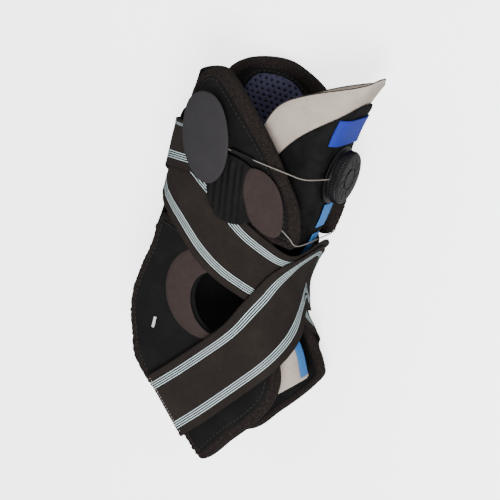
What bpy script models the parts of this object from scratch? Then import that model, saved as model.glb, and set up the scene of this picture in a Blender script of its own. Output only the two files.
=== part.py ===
"""Ankle foot orthosis: a laced ankle brace with a dial tightener, lying on its far side.

+X points towards the toes, +Y runs up the leg, and +Z points from the far side, which rests on
the ground, to the near side. Lengths here are millimetres in the brace's own frame, whose origin
is the middle of the leg at the height of the ankle holes. to_world takes them to the world.

The soft body is one closed tube round leg and foot, the sleeve. A spot on it is (u, v): u counts
the sections of SECTIONS from the top of the leg to the toes, and v is the angle round a section
in degrees, 0 at the front, +90 at the near side, 180 at the rear and -90 at the far side.
"""

import math

import bmesh
import bpy
from mathutils import Vector

SCALE = 0.001
GROUND_POINT = Vector((2.11, 33.27, -43.5772))

# Foot: the sole plane lies SOLE_DROP under the ankle holes, pitched toes down.
FOOT_PITCH = math.radians(33.2)
FOOT_FORWARD = Vector((math.cos(FOOT_PITCH), -math.sin(FOOT_PITCH)))
FOOT_DOWN = Vector((-math.sin(FOOT_PITCH), -math.cos(FOOT_PITCH)))
SOLE_DROP = 79.0
SOLE_START = 7.0
SOLE_END = 82.0
SOLE_HALF_WIDTH = 24.0
SOLE_CORNER = 8.0
SOLE_THICKNESS = 6.2

# Layers, as distances out from the sleeve.
LINER = (0.0, 2.6)
SHELL = (3.3, 6.2)
BINDING = (-0.9, 6.9)
STAY = (1.6, 2.4)
WING_SHELL = (4.0, 6.2)
WING_PAD = (-2.4, 1.1)
TRIM = (7.1, 7.55)
COVER = (8.9, 9.6)
UNDER_STRAP = (8.1, 9.2)
OVER_STRAP = (10.6, 11.7)
HOOK = (12.4, 13.0)
TAB = (13.6, 15.1)
TONGUE_LINER = (-8.2, -5.4)
TONGUE_PANEL = (-4.8, -3.4)
TONGUE_TRIM = (-2.9, -2.2)
TOE_RIBBON = (-5.1, -4.4)

BINDING_WIDTH = 6.0
SEAM_GAP = 0.5
STRAP_WIDTH = 48.0
LACE_RADIUS = 0.6
GUIDE_RADIUS = 1.5
GUIDE_BORE = 1.0
FRONT_SQUEEZE = 0.62

# Dial profiles, as (radius, height) over the tongue about the dial's axis.
DIAL_HEIGHT_UP_LEG = 109.0
DIAL_OUT = -2.6
DIAL_SEGMENTS = 40
DIAL_BASE = [
    (0, 0.5), (20, 0.5), (21, 1.0), (16.8, 1.7), (16.8, 5.0), (13.6, 5.0), (13.6, 1.9), (0, 1.9),
]
LACE_SPOOL = [
    (3.2, 2.2), (12.8, 2.2), (12.8, 2.6), (9, 2.9), (9, 4.1), (12.8, 4.4), (12.8, 4.8), (3.2, 4.8),
]
DIAL_AXLE = [(0, 2.2), (2.7, 2.2), (2.7, 8.8), (0, 8.8)]
DRIVE_DISC = [(3.2, 5.1), (12.6, 5.1), (12.6, 5.9), (3.2, 5.9)]
DIAL_KNOB = [
    (3.2, 6.2), (17.3, 6.2), (17.3, 3.5), (18.4, 3.5), (19, 4.0), (19, 7.9), (17.2, 9.5), (8, 9.8),
    (7.4, 8.9), (3.2, 8.9),
]
DIAL_CAP = [(0, 9.15), (6.9, 9.15), (6.9, 9.7), (5.5, 10.1), (0, 10.1)]
RIB_DEPTH = 0.7
RIB_FROM = 18.9

# The tongue folds forwards at this height up the leg, with a gap between its two parts.
FOLD_HEIGHT = 67.0
FOLD_GAP = 1.4
PANEL_END = 8.4
TOE_END = 11.35
RIBBON_ANGLES = (-14, -5, 5, 14)
LABEL_ANGLES = (-42, -37, -32, -26, -18, -9, 0, 9, 18, 26, 32, 37, 42)
LABEL_SECTIONS = (0.97, 1.1, 1.23, 1.35, 1.47)

BLACK = (0.02, 0.02, 0.022)
CHARCOAL = (0.035, 0.03, 0.028)
BROWN = (0.06, 0.045, 0.035)
BEIGE = (0.55, 0.48, 0.40)
NAVY = (0.045, 0.045, 0.075)
BLUE = (0.07, 0.26, 0.55)
GREY = (0.075, 0.072, 0.075)
SUEDE = (0.12, 0.095, 0.09)
WHITE = (0.8, 0.8, 0.78)
LACE_GREY = (0.5, 0.5, 0.5)


def sole_spot(ahead):
    """The side view place on the sole plane, ahead of the ankle holes along the foot."""
    return FOOT_FORWARD * ahead + FOOT_DOWN * SOLE_DROP


def sole_section(ahead, front_x, front_y, half_width):
    spot = sole_spot(ahead)
    return (spot.x, spot.y, front_x, front_y, half_width, 8.0, 2.8)


# Rear x and y, front x and y, half width, and the powers that square off the rear and the front.
SECTIONS = [
    (-56, 190, 82, 207, 32, 2.4, 3.0),
    (-58, 145, 60, 150, 33, 2.4, 5.0),
    (-60, 115, 55.3, 115, 33, 2.4, 6.0),
    (-60, 80, 55, 84, 32, 2.4, 5.5),
    (-60, 50, 50.5, 58, 31.5, 2.4, 4.0),
    (-63, 20, 45, 40, 31.5, 2.4, 3.0),
    (-68, -10, 44.5, 22, 32, 2.4, 2.6),
    (-67, -35, 48, 8, 32, 2.6, 2.6),
    (-57, -57, 52, -2, 32, 3.4, 2.6),
    sole_section(7, 58, -11, 32.5),
    sole_section(32, 66, -21, 33),
    sole_section(60, 72.5, -33, 34),
    sole_section(88, 79, -46, 35),
    sole_section(112, 85, -60, 36),
]
TONGUE_HALF_WIDTHS = [(w,) for w in (28, 29, 29.4, 28, 24, 21, 20, 20, 21, 22, 24, 26, 28, 30)]

# Outlines in the side view, as (x, y), in order round each panel.
NEAR_PANEL = [
    (-54, 42), (-30, 45), (8, 47), (29, 46), (37, 40), (39, 25), (43, 8), (50, -8), (57, -24),
    (65, -43), (63, -62), (47, -88), (28, -111), (-1, -91), (-34, -69), (-52, -50), (-62, -24),
    (-60, 0), (-56, 20),
]
FAR_PANEL = [
    (-54, 42), (-30, 45), (8, 47), (29, 46), (37, 40), (39, 25), (43, 8), (51, -8), (61, -25),
    (73, -42), (65, -62), (48, -88), (28, -111), (-1, -91), (-34, -69), (-52, -50), (-62, -24),
    (-60, 0), (-56, 20),
]
NEAR_WING = [
    (-55, 56), (-30, 56), (10, 58), (34, 57), (43, 56), (47, 68), (43, 88), (29, 108), (13, 126),
    (-10, 147), (-24, 157), (-35, 160), (-46, 152), (-53, 136), (-55, 100),
]
FAR_WING = [
    (-55, 56), (-30, 56), (10, 58), (34, 57), (43, 56), (48, 70), (45, 98), (34, 126), (16, 150),
    (-4, 161), (-22, 164), (-44, 157), (-54, 140), (-55, 100),
]
WING_CENTRE = (-10.0, 98.0)
NEAR_MESH_PAD = [
    (-44, 92), (-8, 84), (18, 92), (12, 110), (-8, 128), (-26, 142), (-42, 138), (-46, 112),
]
FAR_MESH_PAD = [
    (-42, 92), (-8, 84), (22, 90), (22, 108), (12, 130), (-8, 147), (-34, 149), (-43, 138),
    (-44, 112),
]
LACE_COVER = [
    (6, 103), (4, 91), (8, 78), (15, 67), (28, 62), (34, 68), (32, 85), (26, 97), (16, 104),
]
TAB_OUTLINE = [
    (-33, 142), (-24, 142), (-16, 134), (-10, 119), (-8, 105), (-9, 93), (-14, 84), (-22, 83),
    (-31, 90), (-38, 101), (-42, 113), (-43, 127), (-40, 136),
]
HOOK_OUTLINE = [(-33, 134), (-25, 134), (-17, 118), (-16, 98), (-23, 92), (-33, 103), (-37, 120)]
ANKLE_HOLE = (6.0, 0.0, 19.5, 23.5)
ANKLE_RING = (-3.0, 4.0, 30.0, 33.0)
ANKLE_TILT = math.radians(25.0)

# Strap centre line: sewn at its own side's sole edge, over the instep to the other side, up and
# round behind the leg, and back to its own side. Side view places with the side they lie on.
STRAP_START = [((-3.5, -81), 1), ((12, -60), 1), ((27, -37), 1), ((38, -15), 1)]
STRAP_REST = [
    ("front", 15.0), ((40, 26), -1), ((22, 35), -1), ((-4, 47), -1), ((-32, 68), -1),
    ("rear", 93.0),
]
OVER_STRAP_REST = [
    ("front", 11.0), ((40, 15), -1), ((22, 28), -1), ((-4, 44), -1), ((-32, 67), -1),
    ("rear", 93.0),
]
STRAP_END = (-34, 108)

# Lace: from the dial, over one wing and back under its cover, and across below. Side view places
# with their distances out from the sleeve, then places off the dial's foot.
LACE_ROUTE = [
    (40, 109.5, 9.0), (27, 109.5, 9.6), (6, 109.5, 9.2), (-8, 110, 9.2), (-15, 108, 8.2),
    (-17, 98, 7.6), (-8, 88, 7.4), (14, 79, 7.4), (30, 72, 7.6), (40, 65, 8.8), (45, 60, 9.4),
]
LACE_START = Vector((2.6, 0.5, 17.7))
LACE_EASE = Vector((1.6, 0.5, 24.0))
LACE_CROSSING_HEIGHT = 61.0
LACE_CROSSING_OUT = 2.6


def catmull(a, b, c, d, f):
    return tuple(
        0.5 * (2 * q + (r - p) * f + (2 * p - 5 * q + 4 * r - s) * f ** 2
               + (3 * q - 3 * r + s - p) * f ** 3)
        for p, q, r, s in zip(a, b, c, d)
    )


def along(points, t):
    """A smooth curve through points, at t counted in points."""
    last = len(points) - 1
    i = min(max(int(math.floor(t)), 0), last - 1)
    before, after = points[max(i - 1, 0)], points[min(i + 2, last)]
    return catmull(before, points[i], points[i + 1], after, t - i)


def closed_outline(points, steps=8):
    """A smooth closed curve through points."""
    n = len(points)
    return [
        catmull(points[i - 1], points[i], points[(i + 1) % n], points[(i + 2) % n], k / steps)
        for i in range(n)
        for k in range(steps)
    ]


def squarish(v, power):
    """Unit superellipse point at angle v."""
    c, s = math.cos(math.radians(v)), math.sin(math.radians(v))
    r = (abs(c) ** power + abs(s) ** power) ** (-1.0 / power)
    return c * r, s * r


def squeeze(v):
    """Layers are pressed thinner over the instep's middle than at the sides."""
    away = abs((v + 180.0) % 360.0 - 180.0)
    f = min(max((away - 20.0) / 35.0, 0.0), 1.0)
    return FRONT_SQUEEZE + (1.0 - FRONT_SQUEEZE) * f * f * (3.0 - 2.0 * f)


def sleeve(u, v, out, half_width=None):
    rear_x, rear_y, front_x, front_y, width, rear_power, front_power = along(SECTIONS, u)
    rear, front = Vector((rear_x, rear_y)), Vector((front_x, front_y))
    half_width = width if half_width is None else half_width
    out = out * squeeze(v) if out > 0 else out
    power = front_power if math.cos(math.radians(v)) > 0 else rear_power
    c, s = squarish(v, power)
    middle, across = (rear + front) / 2, (front - rear) / 2
    spot = middle + across.normalized() * c * (across.length + out)
    return Vector((spot.x, spot.y, s * (half_width + out)))


def tongue(u, v, out):
    return sleeve(u, v, out, along(TONGUE_HALF_WIDTHS, u)[0])


def side_spot(x, y):
    """The (u, v) on the near side of a side view place."""
    spot = Vector((x, y))
    low, high = 0.0, len(SECTIONS) - 1.0
    for _ in range(40):
        u = (low + high) / 2
        rear_x, rear_y, front_x, front_y = along(SECTIONS, u)[:4]
        line, to_spot = Vector((front_x - rear_x, front_y - rear_y)), spot - Vector((rear_x, rear_y))
        if line.x * to_spot.y - line.y * to_spot.x < 0:
            low = u
        else:
            high = u
    rear_power, front_power = along(SECTIONS, u)[5:]
    q = min(max(2 * to_spot.dot(line) / line.length_squared - 1, -0.995), 0.995)
    power = front_power if q > 0 else rear_power
    v = math.degrees(math.atan((abs(q) ** -power - 1) ** (1 / power))) if abs(q) > 1e-6 else 90.0
    return (u, v if q >= 0 else 180.0 - v)


def slopes(surface, u, v):
    step_u, step_v = 0.02, 0.5
    along_u = (surface(u + step_u, v, 0) - surface(u - step_u, v, 0)) / (2 * step_u)
    along_v = (surface(u, v + step_v, 0) - surface(u, v - step_v, 0)) / (2 * step_v)
    return along_u, along_v


def walk(surface, u, v, heading, distance, steps=4):
    """Go straight over the surface from (u, v), heading a way in space, for a distance."""
    for _ in range(steps):
        along_u, along_v = slopes(surface, u, v)
        normal = along_u.cross(along_v).normalized()
        heading = (heading - normal * heading.dot(normal)).normalized()
        uu, uv, vv = along_u.dot(along_u), along_u.dot(along_v), along_v.dot(along_v)
        hu, hv = heading.dot(along_u), heading.dot(along_v)
        det = uu * vv - uv * uv
        u += (hu * vv - hv * uv) / det * distance / steps
        v += (hv * uu - hu * uv) / det * distance / steps
    return u, v


def to_world(spot):
    return (spot - GROUND_POINT) * SCALE


def finish(name, bm, colour, roughness=0.9, metallic=0.0):
    """Make a named object with its own material from a bmesh in world metres."""
    mesh = bpy.data.meshes.new(name)
    bmesh.ops.recalc_face_normals(bm, faces=bm.faces)
    bm.to_mesh(mesh)
    bm.free()
    mesh.shade_smooth()
    mesh.set_sharp_from_angle(angle=math.radians(40))
    return place(bpy.data.objects.new(name, mesh), colour, roughness, metallic)


def place(piece, colour, roughness, metallic=0.0):
    look = bpy.data.materials.new(piece.name + "_material")
    look.use_nodes = True
    shader = look.node_tree.nodes["Principled BSDF"]
    shader.inputs["Base Color"].default_value = (*colour, 1.0)
    shader.inputs["Roughness"].default_value = roughness
    shader.inputs["Metallic"].default_value = metallic
    piece.data.materials.append(look)
    bpy.context.collection.objects.link(piece)
    return piece


def slab(name, lattice, layer, colour, wrap=False, disc=False, surface=sleeve, roughness=0.9):
    """A closed sheet between two offsets over rows of (u, v) spots."""
    bm = bmesh.new()
    sides = []
    for out in layer:
        rows = [[bm.verts.new(to_world(surface(u, v, out))) for u, v in row] for row in lattice]
        if disc:
            u, v = disc
            rows.insert(0, [bm.verts.new(to_world(surface(u, v, out)))] * len(rows[0]))
        sides.append(rows)
    low, high = sides
    last_row, columns = len(low) - 1, len(low[0])
    column_pairs = [(j, (j + 1) % columns) for j in range(columns if wrap else columns - 1)]
    for i in range(last_row):
        for j, k in column_pairs:
            for rows in (low, high):
                corners = (rows[i][j], rows[i][k], rows[i + 1][k], rows[i + 1][j])
                bm.faces.new(list(dict.fromkeys(corners)))
    walls = [(low[i][j], low[i][k], high[i][k], high[i][j])
             for i in ((last_row,) if disc else (0, last_row)) for j, k in column_pairs]
    if not wrap:
        walls += [(low[i][j], low[i + 1][j], high[i + 1][j], high[i][j])
                  for i in range(last_row) for j in (0, columns - 1)]
    for wall in walls:
        bm.faces.new(wall)
    return finish(name, bm, colour, roughness)


def mirrored(lattice, side):
    return [[(u, v * side) for u, v in row] for row in lattice]


def ray_outline(outline, centre, sectors):
    """Where evenly spaced rays from the centre leave a closed outline, as (angle, distance)."""
    hits = []
    for k in range(sectors):
        angle = 2 * math.pi * k / sectors
        ray = Vector((math.cos(angle), math.sin(angle)))
        reach = 0.0
        for i, spot in enumerate(outline):
            a, b = Vector(outline[i - 1]) - centre, Vector(spot) - centre
            edge = b - a
            det = ray.y * edge.x - ray.x * edge.y
            if abs(det) < 1e-9:
                continue
            far = (a.y * edge.x - a.x * edge.y) / det
            part = (ray.x * a.y - ray.y * a.x) / det
            if far > 0 and -1e-6 <= part <= 1 + 1e-6:
                reach = max(reach, far)
        hits.append((ray, reach))
    return hits


def ring_rows(centre, inner, outer, rings):
    """Rows of (u, v) between two closed loops given as ray hits from one centre."""
    rows = []
    for i in range(rings + 1):
        f = i / rings
        row = []
        for (ray, near), (_, far) in zip(inner, outer):
            spot = centre + ray * (near + (far - near) * f)
            row.append(side_spot(spot.x, spot.y))
        rows.append(row)
    return rows


def pulled_in(hits, distance):
    return [(ray, reach - distance) for ray, reach in hits]


def scaled(hits, factor):
    return [(ray, reach * factor) for ray, reach in hits]


def ellipse_hits(size, centre, sectors):
    """Ray hits of the tilted ellipse (x, y, semi width, semi height)."""
    x, y, semi_x, semi_y = size
    c, s = math.cos(ANKLE_TILT), math.sin(ANKLE_TILT)
    outline = []
    for k in range(48):
        a = 2 * math.pi * k / 48
        px, py = semi_x * math.cos(a), semi_y * math.sin(a)
        outline.append((x + px * c - py * s, y + px * s + py * c))
    return ray_outline(outline, centre, sectors)


def patch(name, outline, layer, colour, side, sectors=24, rings=3, roughness=0.9, surface=sleeve):
    """A round ended sheet inside a side view outline."""
    centre = Vector((sum(p[0] for p in outline), sum(p[1] for p in outline))) / len(outline)
    hits = ray_outline(closed_outline(outline), centre, sectors)
    rows = ring_rows(centre, scaled(hits, 1 / rings), hits, rings - 1)
    u, v = side_spot(centre.x, centre.y)
    return slab(name, mirrored(rows, side), layer, colour, wrap=True, disc=(u, v * side),
                surface=surface, roughness=roughness)


def turned(name, profile, colour, roughness=0.5, metallic=0.0, ribs=0.0, rib_from=None):
    """A solid of revolution about the dial's axis, from (radius, height) points."""
    bm = bmesh.new()
    foot = dial_foot()
    rings = []
    for r, h in profile:
        if r == 0:
            rings.append([bm.verts.new(to_world(foot + Vector((h, 0, 0))))] * DIAL_SEGMENTS)
            continue
        ring = []
        for k in range(DIAL_SEGMENTS):
            a = 2 * math.pi * k / DIAL_SEGMENTS
            rr = r + (ribs * (k % 2) if rib_from is not None and r >= rib_from else 0.0)
            ring.append(bm.verts.new(to_world(foot + Vector((h, rr * math.cos(a), rr * math.sin(a))))))
        rings.append(ring)
    touches_axis = profile[0][0] == 0
    pairs = list(zip(rings, rings[1:])) + ([] if touches_axis else [(rings[-1], rings[0])])
    for low, high in pairs:
        for k in range(DIAL_SEGMENTS):
            m = (k + 1) % DIAL_SEGMENTS
            corners = list(dict.fromkeys((low[k], low[m], high[m], high[k])))
            bm.faces.new(corners)
    return finish(name, bm, colour, roughness, metallic)


def section_at(height, column):
    """The leg's section whose value in a column of SECTIONS is a height."""
    low, high = 0.0, 9.0
    for _ in range(40):
        u = (low + high) / 2
        if along(SECTIONS, u)[column] > height:
            low = u
        else:
            high = u
    return u


def front_section(height):
    return section_at(height, 3)


def rear_section(height):
    return section_at(height, 1)


def dial_foot():
    """Where the dial's axis meets the tongue."""
    return sleeve(front_section(DIAL_HEIGHT_UP_LEG), 0, DIAL_OUT)


def strap_lattice(side, rest, columns=7, steps=5):
    """Rows of (u, v) over one strap from its sewn end to its free end."""
    spots = []
    for spot, where in STRAP_START + rest:
        if spot == "front":
            spots.append((front_section(where), 0.0))
        elif spot == "rear":
            spots.append((rear_section(where), -180.0))
        else:
            u, v = side_spot(*spot)
            spots.append((u, v * where))
    u, v = side_spot(*STRAP_END)
    spots.append((u, v - 360.0))
    centre = [along(spots, k / steps) for k in range((len(spots) - 1) * steps + 1)]
    rows = []
    for i, (u, v) in enumerate(centre):
        u0, v0 = centre[max(i - 1, 0)]
        u1, v1 = centre[min(i + 1, len(centre) - 1)]
        travel = sleeve(u1, v1, 8) - sleeve(u0, v0, 8)
        along_u, along_v = slopes(sleeve, u, v)
        across = along_u.cross(along_v).cross(travel).normalized()
        row = []
        for j in range(columns):
            shift = STRAP_WIDTH * (j / (columns - 1) - 0.5)
            row.append(walk(sleeve, u, v, across * math.copysign(1, shift or 1), abs(shift))
                       if shift else (u, v))
        rows.append(row)
    return mirrored(rows, side)


def tongue_rows(top, bottom, edge, rows, columns):
    """Rows over the tongue between two height rules of the share across, -1 to 1."""
    lattice = []
    for i in range(rows + 1):
        row = []
        for j in range(columns + 1):
            share = 2 * j / columns - 1
            u = top(share) + (bottom(share) - top(share)) * i / rows
            row.append((u, share * edge(u)))
        lattice.append(row)
    return lattice


def tongue_edge(u):
    """The tongue wraps the leg, narrows past the ankle openings and widens at the toes."""
    waist = min(max((u - 2.5) / 2.5, 0.0), 1.0)
    toes = min(max((u - 7.6) / 1.6, 0.0), 1.0)
    return 88.0 - 36.0 * waist + 20.0 * toes


def fold_section(share):
    """The upper tongue's lower end rises to the sides, so that it can fold forwards."""
    return front_section(FOLD_HEIGHT + FOLD_GAP / 2) - 0.62 * abs(share) ** 1.6


def tube_guide(name, ends, side, colour):
    """A short straight tube that the lace runs through."""
    bm = bmesh.new()
    a, b = (lace_spot(*end, side) for end in ends)
    way = (b - a).normalized()
    turn = way.cross(Vector((0, 0, 1))).normalized()
    other = way.cross(turn)
    rings = []
    for end, radius in ((a, GUIDE_RADIUS), (b, GUIDE_RADIUS), (b, GUIDE_BORE), (a, GUIDE_BORE)):
        ring = []
        for k in range(10):
            angle = 2 * math.pi * k / 10
            offset = turn * radius * math.cos(angle) + other * radius * math.sin(angle)
            ring.append(bm.verts.new(to_world(end + offset)))
        rings.append(ring)
    for i in range(4):
        for k in range(10):
            m = (k + 1) % 10
            bm.faces.new((rings[i][k], rings[i][m], rings[(i + 1) % 4][m], rings[(i + 1) % 4][k]))
    return finish(name, bm, colour, 0.4)


def lace_spot(x, y, out, side):
    u, v = side_spot(x, y)
    return sleeve(u, v * side, out)


def lace_route():
    """The lace's loop from the dial, over one wing, under the loop of the ribbon, and back."""
    half = [lace_spot(x, y, out, 1) for x, y, out in LACE_ROUTE]
    near = [dial_foot() + LACE_START, dial_foot() + LACE_EASE] + half
    crossing = sleeve(front_section(LACE_CROSSING_HEIGHT), 0, LACE_CROSSING_OUT)
    far = [Vector((p.x, p.y, -p.z)) for p in reversed(near)]
    return near + [crossing] + far


def lace(name, colour):
    route = lace_route()
    count = 60
    curve = bpy.data.curves.new(name, "CURVE")
    curve.dimensions = "3D"
    curve.bevel_depth = LACE_RADIUS * SCALE
    curve.bevel_resolution = 2
    curve.use_fill_caps = True
    spline = curve.splines.new("POLY")
    spline.points.add(count)
    for k in range(count + 1):
        spot = Vector(along(route, k * (len(route) - 1) / count))
        spline.points[k].co = (*to_world(spot), 1.0)
    return place(bpy.data.objects.new(name, curve), colour, 0.4)


def sole():
    """Flat band under the foot that joins both side panels."""
    bm = bmesh.new()
    half, corner = SOLE_HALF_WIDTH, SOLE_CORNER
    outline = []
    for cx, cz, start in ((1, 1, 0), (0, 1, 90), (0, 0, 180), (1, 0, 270)):
        middle_t = (SOLE_START + corner) if cx == 0 else (SOLE_END - corner)
        middle_z = (half - corner) * (1 if cz else -1)
        for k in range(5):
            a = math.radians(start + 22.5 * k)
            outline.append((middle_t + corner * math.cos(a), middle_z + corner * math.sin(a)))
    rings = []
    for drop in (0.0, SOLE_THICKNESS):
        ring = []
        for t, z in outline:
            spot = FOOT_FORWARD * t + FOOT_DOWN * (SOLE_DROP + drop)
            ring.append(bm.verts.new(to_world(Vector((spot.x, spot.y, z)))))
        rings.append(ring)
    bm.faces.new(rings[0])
    bm.faces.new(rings[1])
    for k in range(len(outline)):
        m = (k + 1) % len(outline)
        bm.faces.new((rings[0][k], rings[0][m], rings[1][m], rings[1][k]))
    return finish("sole_band", bm, CHARCOAL)


def side_panel(side, label, outline):
    sectors = 32
    centre = Vector((ANKLE_HOLE[0], ANKLE_HOLE[1]))
    edge = ray_outline(closed_outline(outline), centre, sectors)
    hole = ellipse_hits(ANKLE_HOLE, centre, sectors)
    ring = ellipse_hits(ANKLE_RING, centre, sectors)
    seam = pulled_in(edge, BINDING_WIDTH)
    panel = mirrored(ring_rows(centre, hole, pulled_in(seam, SEAM_GAP), 4), side)
    slab(label + "_side_liner", panel, LINER, BLACK, wrap=True)
    slab(label + "_side_shell", panel, SHELL, BLACK, wrap=True)
    trim = mirrored(ring_rows(centre, pulled_in(hole, -1.0), ring, 2), side)
    slab(label + "_ankle_ring", trim, TRIM, SUEDE, wrap=True)
    band = mirrored(ring_rows(centre, seam, edge, 1), side)
    slab(label + "_side_binding", band, BINDING, BROWN, wrap=True)


def wing(side, label, outline, pad):
    sectors = 30
    centre = Vector(WING_CENTRE)
    edge = ray_outline(closed_outline(outline), centre, sectors)
    seam = pulled_in(edge, BINDING_WIDTH)
    inner = pulled_in(seam, SEAM_GAP)
    u, v = side_spot(centre.x, centre.y)
    rows = mirrored(ring_rows(centre, scaled(inner, 0.25), inner, 3), side)
    slab(label + "_wing_shell", rows, WING_SHELL, BLACK, wrap=True, disc=(u, v * side))
    stay = mirrored(ring_rows(centre, scaled(inner, 0.22), scaled(inner, 0.88), 3), side)
    slab(label + "_wing_stay", stay, STAY, GREY, wrap=True, disc=(u, v * side), roughness=0.5)
    band = mirrored(ring_rows(centre, seam, edge, 1), side)
    slab(label + "_wing_binding", band, BINDING, BROWN, wrap=True)
    patch(label + "_mesh_pad", pad, WING_PAD, NAVY, side)
    patch(label + "_lace_cover", LACE_COVER, COVER, SUEDE, side)
    tube_guide(label + "_lace_guide", (LACE_ROUTE[2], LACE_ROUTE[3]), side, BLACK)


def rear_panel():
    rows = [
        [(rear_section(height), v) for v in (162, 168, 174, 180, 186, 192, 198)]
        for height in (148, 130, 112, 94, 76, 58, 42, 30)
    ]
    slab("rear_panel", rows, SHELL, CHARCOAL)
    lip = [
        [(rear_section(height), v) for v in (162, 168, 174, 180, 186, 192, 198)]
        for height in (29.3, 24.0)
    ]
    slab("rear_binding", lip, BINDING, BROWN)


def tongue_top(share):
    return 0.46 + 0.6 * abs(share) ** 2.4 + 0.49 * abs(share) ** 30


def panel_top(share):
    return 0.77 + 1.75 * abs(share) ** 4


def tongue_parts():
    lower_top = front_section(FOLD_HEIGHT - FOLD_GAP / 2)
    upper = tongue_rows(tongue_top, fold_section, tongue_edge, 10, 26)
    slab("tongue_upper_liner", upper, TONGUE_LINER, BEIGE, surface=tongue)
    cover = tongue_rows(panel_top, fold_section, lambda u: tongue_edge(u) * 0.86, 8, 22)
    slab("tongue_upper_panel", cover, TONGUE_PANEL, BLACK, surface=tongue)
    lower = tongue_rows(lambda share: lower_top, lambda share: TOE_END, tongue_edge, 12, 10)
    slab("tongue_lower_liner", lower, TONGUE_LINER, BEIGE, surface=tongue)
    instep = tongue_rows(lambda share: lower_top, lambda share: PANEL_END,
                         lambda u: tongue_edge(u) * 0.8, 9, 10)
    slab("tongue_lower_panel", instep, TONGUE_PANEL, BLACK, surface=tongue)
    label = [[(u, v) for v in LABEL_ANGLES] for u in LABEL_SECTIONS]
    slab("tongue_label", label, TONGUE_TRIM, BLUE, surface=tongue)
    for name, first, last, rows, layer in (
            ("ribbon_upper", front_section(87.5), front_section(70), 3, TONGUE_TRIM),
            ("ribbon_lower", front_section(64), PANEL_END - 0.1, 8, TONGUE_TRIM),
            ("ribbon_toe", PANEL_END + 0.1, TOE_END - 0.15, 4, TOE_RIBBON)):
        strip = [[(first + (last - first) * i / rows, v) for v in RIBBON_ANGLES]
                 for i in range(rows + 1)]
        slab(name, strip, layer, BLUE, surface=tongue)


def dial():
    turned("dial_base", DIAL_BASE, BLACK)
    turned("lace_spool", LACE_SPOOL, GREY)
    turned("dial_axle", DIAL_AXLE, LACE_GREY, 0.3, 1.0)
    turned("drive_disc", DRIVE_DISC, GREY)
    turned("dial_knob", DIAL_KNOB, BLACK, ribs=-RIB_DEPTH, rib_from=RIB_FROM)
    turned("dial_cap", DIAL_CAP, BLACK)


def straps():
    for label, side, rest, layer in (("near", 1, OVER_STRAP_REST, OVER_STRAP),
                                     ("far", -1, STRAP_REST, UNDER_STRAP)):
        slab(label + "_strap", strap_lattice(side, rest), layer, CHARCOAL)
    patch("near_tab", TAB_OUTLINE, TAB, GREY, 1, roughness=0.7)
    patch("near_tab_hook", HOOK_OUTLINE, HOOK, BLACK, 1, sectors=16, rings=2)


def size_tag():
    rows = [[side_spot(x, y) for y in (-35, -31, -27)] for x in (-36, -32)]
    slab("size_tag", rows, TRIM, WHITE)


def main():
    for leftover in list(bpy.data.objects):
        bpy.data.objects.remove(leftover)
    sole()
    for side, label, panel, outline, pad in (
            (1, "near", NEAR_PANEL, NEAR_WING, NEAR_MESH_PAD),
            (-1, "far", FAR_PANEL, FAR_WING, FAR_MESH_PAD)):
        side_panel(side, label, panel)
        wing(side, label, outline, pad)
    rear_panel()
    tongue_parts()
    dial()
    straps()
    size_tag()
    lace("lace", LACE_GREY)


main()
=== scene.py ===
"""Looks of the laced ankle brace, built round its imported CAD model.

The soft body is one closed tube round leg and foot, the sleeve, with the same sections as the
CAD model. A spot on it is (u, v): u counts the sections from the top of the leg to the toes, and
v is the angle round a section in degrees, 0 at the front and +90 at the near side. Lengths are
millimetres in the brace's own frame until to_world places them in the CAD model's frame.
"""

import math

import bmesh
import bpy
import numpy as np
from mathutils import Matrix, Vector


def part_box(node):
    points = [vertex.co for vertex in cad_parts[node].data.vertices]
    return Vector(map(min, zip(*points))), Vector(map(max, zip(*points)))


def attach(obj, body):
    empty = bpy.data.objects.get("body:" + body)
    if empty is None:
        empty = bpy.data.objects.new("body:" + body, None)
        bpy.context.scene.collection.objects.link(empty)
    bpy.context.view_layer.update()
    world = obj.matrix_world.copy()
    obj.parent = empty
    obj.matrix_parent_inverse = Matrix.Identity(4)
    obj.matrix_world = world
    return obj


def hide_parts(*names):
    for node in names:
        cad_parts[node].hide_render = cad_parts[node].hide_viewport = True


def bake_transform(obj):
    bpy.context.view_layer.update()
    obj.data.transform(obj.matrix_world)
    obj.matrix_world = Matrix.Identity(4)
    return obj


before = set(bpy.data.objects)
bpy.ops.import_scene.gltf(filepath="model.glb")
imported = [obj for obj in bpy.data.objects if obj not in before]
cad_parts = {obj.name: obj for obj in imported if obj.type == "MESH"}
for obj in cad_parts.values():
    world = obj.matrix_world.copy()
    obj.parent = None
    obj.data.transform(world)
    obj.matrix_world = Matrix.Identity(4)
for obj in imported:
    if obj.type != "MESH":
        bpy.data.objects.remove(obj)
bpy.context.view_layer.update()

MM = 0.001
SOLE_DROP = 79.0
FOOT_PITCH = math.radians(33.2)
FOOT_FORWARD = np.array((math.cos(FOOT_PITCH), -math.sin(FOOT_PITCH)))
FOOT_DOWN = np.array((-math.sin(FOOT_PITCH), -math.cos(FOOT_PITCH)))
FRONT_SQUEEZE = 0.62
STRAP_WIDTH = 48.0
STRAP_BAND_MIDDLE = 15.6
STRAP_LINE_PITCH = 1.5
STRAP_ROUTE_HEIGHT = 9.0
DIAL_HEIGHT_UP_LEG = 109.0
STEPS_PER_POINT = 50
SIDES = (("near", 1), ("far", -1))


# --- the sleeve -------------------------------------------------------------------------------

def sole_section(ahead, front_x, front_y, half_width):
    spot = FOOT_FORWARD * ahead + FOOT_DOWN * SOLE_DROP
    return (spot[0], spot[1], front_x, front_y, half_width, 8.0, 2.8)


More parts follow.
